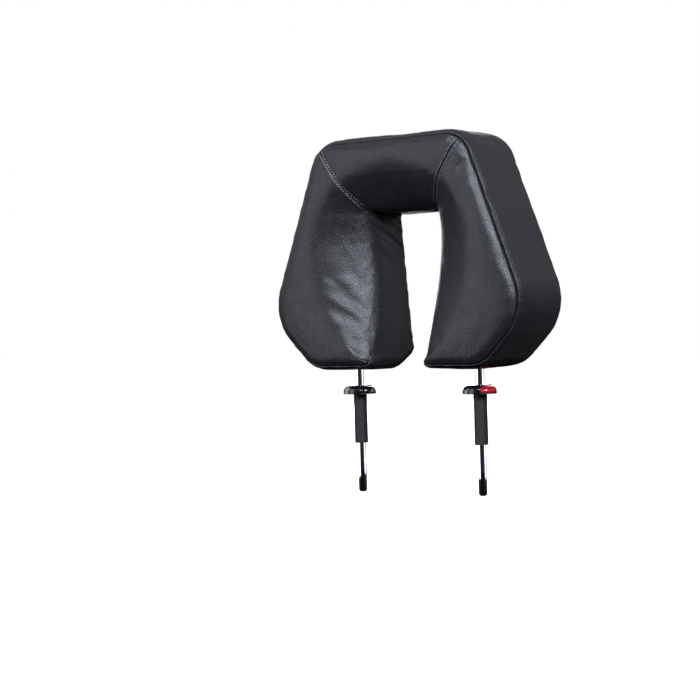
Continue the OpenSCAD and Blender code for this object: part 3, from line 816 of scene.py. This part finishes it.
# All the stitches as one array of rings: a row on each side of each mitre seam
def stitches():
    tops = [cover["top"], cover["top"][::-1]]
    wings = [cover["left"][::-1], cover["right"]]
    rows = []
    for grid in tops + wings:
        rows.append(stitchRow(beside(grid, stitch["beside"])[3:-2], np.array([0.0, -1.0, 0.0])))
    rings = np.concatenate(rows)
    faces = gridFaces(stitch["rings"], stitch["sides"], closeColumns=True)
    each = stitch["rings"] * stitch["sides"]
    faces = (faces[None] + each * np.arange(len(rings))[:, None, None]).reshape(-1, 4)
    return rings, faces


def closePoles(piece):  # merge the doubled points of a pole and turn every face outwards
    work = bmesh.new()
    work.from_mesh(piece.data)
    bmesh.ops.remove_doubles(work, verts=work.verts, dist=0.002 * mm)
    bmesh.ops.recalc_face_normals(work, faces=work.faces)
    work.to_mesh(piece.data)
    work.free()
    return piece


# Bonded polyester thread, waxy: a dark grey thread painted a shade lighter than the leather, partly a
# painted highlight that stands in for the glints of its sheen, so it shows as fine light dashes
thread = grainMaterial("polyesterThreadPaintedGlint", "#6d6e74", "#8d8e94", 0.4 * mm, (0.45, 0.6), 0.05 * mm)
rings, stitchFaces = stitches()
place(closePoles(makePiece("mitreStitches", rings, stitchFaces, thread)), "headrest", "cover_leather")
print("stitches ready")

# Chromed rod: post, quarter bend, cross bar, quarter bend, post, with notches cut in the right post
rodLow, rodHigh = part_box("frame_rod")
rod = {
    "radius": 5 * mm,
    "bend": 28 * mm,
    "chamfer": 2 * mm,
    "tip": 3.5 * mm,
    "notchDepth": 1.2 * mm,
    "notchHeight": 3 * mm,
    "notchPitch": 10 * mm,
    "pinZ": 4.5 * mm,
    "below": 5,  # notches below the pin, and above it
    "above": 1,
    "plainRing": 30 * mm,  # a ring this far above the tip, and the last one of the straight post
    "straightTo": 140 * mm,
    "bendSteps": 25,
    "columns": 64,
}


# Centre line and radius of the rod's rings, from the left tip to the right one
def rodLine():
    x = rodHigh.x - rod["radius"]
    barZ = rodHigh.z - rod["radius"]
    start = rodLow.z
    a = np.linspace(0, math.pi / 2, rod["bendSteps"])
    cx, cz = x - rod["bend"], barZ - rod["bend"]
    notches = rod["pinZ"] + rod["notchPitch"] * np.arange(-rod["below"], rod["above"] + 1)
    cuts = np.sort(np.concatenate([notches + side * rod["notchHeight"] / 2 + shift
                                   for side in (-1, 1) for shift in (-0.01 * mm, 0.01 * mm)]))
    rise = np.concatenate([[start, start, start + rod["chamfer"], start + rod["plainRing"]], cuts,
                           [rod["straightTo"]]])
    radii = np.full(len(rise), rod["radius"])
    radii[0], radii[1] = 0, rod["tip"]
    post = np.stack([np.full(len(rise), x), 0 * rise, rise], -1)
    bend = np.stack([cx + rod["bend"] * np.cos(a), 0 * a, cz + rod["bend"] * np.sin(a)], -1)
    half = np.concatenate([post, bend])
    halfRadii = np.concatenate([radii, np.full(len(a), rod["radius"])])
    line = np.concatenate([half * [-1, 1, 1], half[::-1]])
    return line, np.concatenate([halfRadii, halfRadii[::-1]]), notches


# Ring points: centre + r (cos a across + sin a Y); a notch cuts the side towards the pad's middle
# back to a flat, r = (radius - depth) / cos a
def rodPoints():
    line, radii, notches = rodLine()
    columns = rod["columns"]
    way = unit(np.gradient(line, axis=0) + 1e-9)
    onPost = line[:, 2] < rod["straightTo"] + mm
    way[onPost & (line[:, 0] < 0)] = [0, 0, 1]
    way[onPost & (line[:, 0] > 0)] = [0, 0, -1]
    across = np.stack([way[:, 2], 0 * way[:, 0], -way[:, 0]], -1)
    a = np.linspace(0, 2 * math.pi, columns, endpoint=False)
    r = np.repeat(radii[:, None], columns, 1)
    inNotch = (np.abs(line[:, 2, None] - notches[None]) < rod["notchHeight"] / 2).any(axis=1) & (
        line[:, 0] > 0)
    flat = (rod["radius"] - rod["notchDepth"]) / np.maximum(np.cos(a), 1e-3)
    r = np.where(inNotch[:, None], np.minimum(r, flat[None]), r)
    return line[:, None] + r[..., None] * (across[:, None] * np.cos(a)[None, :, None]
                                           + np.array([0, 1, 0]) * np.sin(a)[None, :, None])


# Bright chrome plate over polished steel: a mirror with faint drawn scratches along the posts
chrome = grainMaterial("chromePlate", "#d5d8dc", "#e2e4e8", 1.2 * mm, (0.05, 0.1), stretch=(1, 1, 0.06),
                       Metallic=1.0)
rodRings = rodPoints()
rodFaces = gridFaces(*rodRings.shape[:2], closeColumns=True)
rodPiece = closePoles(makePiece("chromeRod", rodRings, rodFaces, chrome))
rodPiece.data.set_sharp_from_angle(angle=math.radians(40))
place(rodPiece, "headrest", "rod_chrome", "frame_rod")
brightParts = [rodPiece]  # the glossy pieces that the two strip lights light
print("rod ready")

# Guide caps: an oval dome whose rim stands upright, then rounds over a shoulder to a flat top
cap = {
    "halfLength": 21.5 * mm,
    "halfWidth": 18 * mm,
    "height": 10.5 * mm,
    "rim": 3 * mm,
    "shoulder": 6.5 * mm,
    "shell": 1 * mm,
    "play": 0.2 * mm,
    "plate": 1.5 * mm,
    "hole": 5.5 * mm,
    "split": 9.3 * mm,
    "yokeIn": 7.2 * mm,
    "yokeOut": 9.2 * mm,
    "yokeLow": 2 * mm,
    "yokeHeight": 4.8 * mm,
    "bridge": -11.2 * mm,
    "bridgeThick": 2 * mm,
    "footHeight": 0.4 * mm,  # chamfer of the dome's lower edge
    "footInset": 0.3 * mm,
    "lip": 0.35 * mm,
    "levels": 18,
    "columns": 144,
}


# Rings up the dome's outside, inset by d: height and how far the oval has come in
def domeLevels(d, bottom):
    a = np.linspace(0, math.pi / 2, cap["levels"])
    rise = cap["height"] - cap["rim"] - d
    z = np.concatenate([[bottom, bottom + cap["footHeight"]], cap["rim"] + rise * np.sin(a)])
    inset = np.concatenate([[cap["footInset"], 0], cap["shoulder"] * (1 - np.cos(a))]) + d
    return z, inset


def ovalRing(inset, z, x):  # oval less its inset, at a height
    a = np.linspace(0, 2 * math.pi, cap["columns"], endpoint=False)
    inset = np.atleast_1d(inset)[:, None]
    return np.stack([x + (cap["halfLength"] - inset) * np.cos(a), (cap["halfWidth"] - inset) * np.sin(a),
                     np.broadcast_to(np.atleast_1d(z)[:, None], inset.shape) + 0 * a], -1)


def roundRing(radius, z, x):  # circle of the cap's own number of points, at a height
    a = np.linspace(0, 2 * math.pi, cap["columns"], endpoint=False)
    return np.stack([x + radius * np.cos(a), radius * np.sin(a), z + 0 * a], -1)[None]


# Cuts a closed mesh with the plane x = cut and keeps one side, closing the cut
def cutPiece(piece, cut, keepLess):
    work = bmesh.new()
    work.from_mesh(piece.data)
    bmesh.ops.remove_doubles(work, verts=work.verts, dist=0.002 * mm)
    geometry = work.verts[:] + work.edges[:] + work.faces[:]
    done = bmesh.ops.bisect_plane(work, geom=geometry, plane_co=(cut, 0, 0), plane_no=(1, 0, 0),
                                  clear_outer=keepLess, clear_inner=not keepLess)
    rim = [e for e in done["geom_cut"] if isinstance(e, bmesh.types.BMEdge)]
    filled = bmesh.ops.triangle_fill(work, use_beauty=True, edges=rim)
    for face in filled["geom"]:
        if isinstance(face, bmesh.types.BMFace):
            face.smooth = False
    bmesh.ops.recalc_face_normals(work, faces=work.faces)
    work.to_mesh(piece.data)
    work.free()
    piece.data.set_sharp_from_angle(angle=math.radians(35))
    return piece


# Cap housing: up the dome's outside, over the lip of the rod's hole, down it and back along the inside,
# then cut where the button's half begins
def housing(name, x, material, node):
    z, inset = domeLevels(0, 0)
    zIn, insetIn = domeLevels(cap["shell"], 0)
    lip = cap["lip"]
    rings = np.concatenate([
        ovalRing(inset, z, x),
        roundRing(cap["hole"] + lip, cap["height"], x),
        roundRing(cap["hole"] + 0.1 * mm, cap["height"] - 0.25 * lip, x),
        roundRing(cap["hole"], cap["height"] - lip, x),
        roundRing(cap["hole"], cap["height"] - cap["shell"], x),
        ovalRing(insetIn, zIn, x)[::-1],
    ])
    faces = gridFaces(*rings.shape[:2], closeRows=True, closeColumns=True)
    piece = cutPiece(makePiece(name, rings, faces, material), x + cap["split"], True)
    return place(piece, "guides", "cap_plastic", node)


# Rounded bar between two corners, as a bevelled block
def addBar(work, low, high, bevel=0.3 * mm):
    low, high = np.array(low), np.array(high)
    scale = Matrix.Diagonal((*(high - low), 1))
    made = bmesh.ops.create_cube(work, size=1, matrix=Matrix.Translation((low + high) / 2) @ scale)
    edgesMade = list({e for v in made["verts"] for e in v.link_edges})
    bmesh.ops.bevel(work, geom=edgesMade, offset=bevel, segments=2, affect="EDGES")


# Button: the other half of the dome, as a solid inside the shell; the red one has a yoke, two bars that
# run past the rod to a bridge behind it
def button(name, x, material, yoke):
    d = cap["shell"] + cap["play"]
    z, inset = domeLevels(d, cap["plate"] + cap["play"])
    rings = np.concatenate([roundRing(0, z[0], x), ovalRing(inset, z, x), roundRing(0, z[-1], x)])
    piece = makePiece(name, rings, gridFaces(*rings.shape[:2], closeColumns=True), material)
    cutPiece(piece, x + cap["split"], False)
    if yoke:
        work = bmesh.new()
        work.from_mesh(piece.data)
        low, high = cap["yokeLow"], cap["yokeLow"] + cap["yokeHeight"]
        back = cap["bridge"] + cap["bridgeThick"]
        for y0, y1 in ((-cap["yokeOut"], -cap["yokeIn"]), (cap["yokeIn"], cap["yokeOut"])):
            addBar(work, [x + cap["bridge"], y0, low], [x + cap["split"] + 0.5 * mm, y1, high])
        addBar(work, [x + cap["bridge"], -cap["yokeOut"], low], [x + back, cap["yokeOut"], high])
        work.to_mesh(piece.data)
        work.free()
    return piece


# ABS, moulded and polished black: deep gloss with a trace of orange peel
blackAbs = grainMaterial("blackAbs", "#0d0e10", "#141518", 3 * mm, (0.14, 0.22), 0.02 * mm, IOR=1.53)
# The same ABS dyed red, a shade less glossy
redAbs = grainMaterial("redAbs", "#a80f1a", "#bd1722", 3 * mm, (0.16, 0.24), 0.02 * mm, IOR=1.53)
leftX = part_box("cap_housing_left")[0].x + cap["halfLength"]
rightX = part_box("cap_housing_right")[0].x + cap["halfLength"]
brightParts += [
    housing("capHousingLeft", leftX, blackAbs, "cap_housing_left"),
    housing("capHousingRight", rightX, blackAbs, "cap_housing_right"),
    place(button("blankButton", leftX, blackAbs, False), "guides", "cap_plastic", "blank_button_left"),
]
place(button("releaseButton", rightX, redAbs, True), "release_button", "button_red", "release_button")
print("caps ready")

# The button's spring, which shortens as the button is pressed; here it is built at one length
spring = {
    "radius": 2 * mm,
    "wire": 0.3 * mm,
    "turns": 4,
    "room": 0.05 * mm,
    "perTurn": 28,
    "sides": 10,
}
springLow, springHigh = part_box("button_spring")


# Helix of round wire: (x0 + run t + w sin b, (r + w cos b) cos a, z + (r + w cos b) sin a), with t along
# the spring, a = 2 pi turns t and b round the wire; each end closes on the wire's middle
def springPoints():
    t = np.linspace(0, 1, spring["perTurn"] * spring["turns"] + 1)
    t = np.concatenate([[0], t, [1]])[:, None]
    wire = np.full(len(t), spring["wire"])[:, None]
    wire[[0, -1]] = 0
    a = 2 * math.pi * spring["turns"] * t
    b = np.linspace(0, 2 * math.pi, spring["sides"], endpoint=False)[None]
    start, finish = springLow.x + spring["wire"], springHigh.x - spring["wire"]
    r = spring["radius"] + wire * np.cos(b)
    return np.stack([start + (finish - start) * t + wire * np.sin(b), r * np.cos(a),
                     (springLow.z + springHigh.z) / 2 + r * np.sin(a)], -1)


# Music wire, drawn: fine bright lines
musicWire = grainMaterial("musicWire", "#a9adb2", "#c4c7cb", 0.5 * mm, (0.22, 0.35), Metallic=1.0)
coil = springPoints()
coilFaces = gridFaces(*coil.shape[:2], closeColumns=True)
coilPiece = closePoles(makePiece("buttonSpring", coil, coilFaces, musicWire))
place(coilPiece, "guides", "spring_steel", "button_spring")
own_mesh(coilPiece)
print("spring ready")

# The other hard parts keep their CAD shapes and get these finishes
finishes = {
    # nylon, glass filled and moulded: matt black with a fine spark texture
    "sparkNylon": (["guide_sleeve_left", "guide_sleeve_right"],
                   grainMaterial("sparkNylon", "#141517", "#1f2023", 0.7 * mm, (0.5, 0.65), 0.06 * mm)),
    # nitrile rubber, pressed: dead matt and bluish black
    "nitrile": (["rattle_ring_left", "rattle_ring_right"],
                grainMaterial("nitrileRubber", "#1a1a1b", "#242425", 1.5 * mm, (0.7, 0.85), 0.03 * mm)),
    # dowel pin, ground
    "groundSteel": (["lock_pin"],
                    grainMaterial("groundSteel", "#b5b8bc", "#cfd1d4", 0.4 * mm, (0.18, 0.3),
                                  stretch=(1, 0.1, 1), Metallic=1.0)),
    # zinc plate over pressed steel: grey with a cool, cloudy sheen
    "zincPlate": (["rod_saddles", "saddle_screws"],
                  grainMaterial("zincPlate", "#9aa0a8", "#b9bec5", 5 * mm, (0.3, 0.5), 0.02 * mm,
                                Metallic=1.0)),
    # yellow passivated zinc on the nuts: brassy with a drift of colour
    "yellowZinc": (["tee_nuts"],
                   grainMaterial("yellowZinc", "#b39a4c", "#cdbb73", 4 * mm, (0.3, 0.45), Metallic=1.0)),
    # birch plywood, sanded: pale, with grain drawn out along the board
    "birchPly": (["backing_board"],
                 grainMaterial("birchPly", "#c49a63", "#dcbb88", 2.5 * mm, (0.5, 0.65), 0.08 * mm,
                               stretch=(1, 1, 0.08))),
}
for nodes, material in finishes.values():
    for name in nodes:
        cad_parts[name].data.materials[0] = material
print("finishes ready")

stage = {
    "floorDrop": 1 * mm,
    "floorReach": 8.0,
    "floorTicks": 9,
    "floorGlow": 0.72,
    "ambient": 0.12,
    "left": ((-1.0, -0.1, 0.0), 0.6),  # direction and strength of each bright side
    "behind": ((0.9, 0.43, 0.0), 0.44),
    "sideSpan": (0.5, 0.92),  # cosines between which a side goes from dim to full
    "top": 0.22,
    "topFrom": 0.3,
    "aimZ": 0.17,
}

floorMaterial, tree, shader = newMaterial("palePaper", Roughness=0.95)
shader.inputs["Base Color"].default_value = linear("#f2f2f2")
shader.inputs["Emission Color"].default_value = linear("#ffffff")
shader.inputs["Emission Strength"].default_value = stage["floorGlow"]
ticks = np.linspace(-stage["floorReach"], stage["floorReach"], stage["floorTicks"])
floorX, floorY = np.meshgrid(ticks, ticks, indexing="ij")
floorGrid = np.stack([floorX, floorY, np.full(floorX.shape, cadBox[0][2] - stage["floorDrop"])], -1)
floor = makePiece("floor", floorGrid, gridFaces(*floorX.shape, turn=True), floorMaterial)
floor.visible_glossy = False
floor.visible_diffuse = False


# Studio surround: white to the eye, but as a light it is dark below, dim in front, bright on the left
# and behind the right side, and grey above, so the satin cover keeps its shape
def addStudio():
    world = bpy.data.worlds.new("studio")
    bpy.context.scene.world = world
    world.use_nodes = True
    tree = world.node_tree
    way = addNode(tree, "ShaderNodeTexCoord").outputs["Generated"]
    up = addNode(tree, "ShaderNodeSeparateXYZ", {"Vector": way})
    level = addNode(tree, "ShaderNodeMapRange", {"Value": up.outputs["Z"]}, From_Min=-1.0, From_Max=1.0)
    height = addNode(tree, "ShaderNodeValToRGB", {"Fac": level.outputs["Result"]}, [
        (0.4, [0.05, 0.05, 0.05, 1]), (0.52, [0.3, 0.3, 0.3, 1]), (0.67, [1, 1, 1, 1])])
    parts = []
    low, high = stage["sideSpan"]
    for towards, brightness in (stage["left"], stage["behind"]):
        facing = addNode(tree, "ShaderNodeVectorMath", {0: way}, operation="DOT_PRODUCT")
        facing.inputs[1].default_value = towards
        lobe = addNode(tree, "ShaderNodeMapRange", {"Value": facing.outputs["Value"]}, From_Min=low,
                       From_Max=high, To_Min=stage["ambient"] / 2, To_Max=brightness)
        parts.append(lobe.outputs["Result"])
    lit = addNode(tree, "ShaderNodeMath", {0: parts[0], 1: parts[1]}, operation="ADD")
    product = addNode(tree, "ShaderNodeMath", {0: height.outputs["Color"], 1: lit.outputs[0]},
                      operation="MULTIPLY")
    over = addNode(tree, "ShaderNodeMapRange", {"Value": up.outputs["Z"]}, From_Min=stage["topFrom"],
                   From_Max=1.0, To_Min=0.0, To_Max=stage["top"])
    total = addNode(tree, "ShaderNodeMath", {0: product.outputs[0], 1: over.outputs["Result"]},
                    operation="ADD")
    seen = addNode(tree, "ShaderNodeLightPath").outputs["Is Camera Ray"]
    strength = addNode(tree, "ShaderNodeMath", {0: total.outputs[0], 1: seen}, operation="MAXIMUM")
    background = tree.nodes["Background"]
    background.inputs["Color"].default_value = linear("#ffffff")
    tree.links.new(strength.outputs[0], background.inputs["Strength"])
    bpy.context.scene.view_settings.view_transform = "Standard"


# Area light facing the pad. With a list of pieces it lights only those, as a strip beside chrome does
def softLight(name, azimuth, elevation, distance, size, power, only=()):
    a, e = math.radians(azimuth), math.radians(elevation)
    direction = np.array([math.sin(a) * math.cos(e), -math.cos(a) * math.cos(e), math.sin(e)])
    light = bpy.data.lights.new(name, "AREA")
    light.shape = "RECTANGLE"
    light.size, light.size_y = size
    light.energy = power
    light.color = linear("#eff3ff")[:3]
    lamp = bpy.data.objects.new(name, light)
    bpy.context.scene.collection.objects.link(lamp)
    side = unit(np.cross([0, 0, 1], direction))
    basis = np.eye(4)
    basis[:3, 0], basis[:3, 1], basis[:3, 2] = side, np.cross(direction, side), direction
    basis[:3, 3] = np.array([0, 0, stage["aimZ"]]) + direction * distance
    lamp.matrix_world = Matrix(basis.tolist())
    lamp.visible_camera = False
    if only:
        lit = bpy.data.collections.new(name + "Lit")
        for piece in only:
            lit.objects.link(piece)
        lamp.light_linking.receiver_collection = lit


# Lamps: azimuth and elevation in degrees, distance and size in metres, power in watts
lamps = {
    "keyRight": (55, 24, 1.8, (0.45, 0.6), 29),
    "keyFront": (17, 36, 1.8, (0.7, 0.5), 31),
    "backFill": (216, 8, 2.2, (1.2, 1.0), 24),
    "fillFrontLeft": (-36, 2, 2.0, (0.8, 1.9), 14),
}
strips = {
    "stripLeft": (-78, 6, 1.2, (0.7, 1.4), 12),
    "stripRight": (122, 6, 1.2, (0.9, 1.4), 11),
}
addStudio()
for name, setting in lamps.items():
    softLight(name, *setting)
for name, setting in strips.items():
    softLight(name, *setting, brightParts)
print("lights ready")

camera = {
    "azimuth": 34.5,
    "elevation": 1.06,
    "roll": 1.76,
    "distance": 2.0,
    "aimRight": -49.83 * mm,
    "aimUp": -108.16 * mm,
    "frontPlane": -55 * mm,
    "centreZ": 163.9 * mm,
    "pictureWidth": 700,
    "focal": 1705.93,  # in the picture's own units
    "sensor": 36,
}


# Camera at distance along back from the aim, where back, right and up come from its azimuth and
# elevation and are then turned by its roll
def addCamera():
    a, e, r = (math.radians(camera[k]) for k in ("azimuth", "elevation", "roll"))
    back = np.array([math.sin(a) * math.cos(e), -math.cos(a) * math.cos(e), math.sin(e)])
    right = np.array([math.cos(a), math.sin(a), 0])
    up = np.cross(back, right)
    aim = right * camera["aimRight"] + up * camera["aimUp"] + [0, camera["frontPlane"], camera["centreZ"]]
    basis = np.eye(4)
    basis[:3, 0] = right * math.cos(r) - up * math.sin(r)
    basis[:3, 1] = right * math.sin(r) + up * math.cos(r)
    basis[:3, 2] = back
    basis[:3, 3] = aim + back * camera["distance"]
    data = bpy.data.cameras.new("camera")
    data.sensor_width = camera["sensor"]
    data.lens = camera["focal"] / camera["pictureWidth"] * data.sensor_width
    data.clip_start = 0.01
    stand = bpy.data.objects.new("camera", data)
    bpy.context.scene.collection.objects.link(stand)
    stand.matrix_world = Matrix(basis.tolist())
    bpy.context.scene.camera = stand


addCamera()
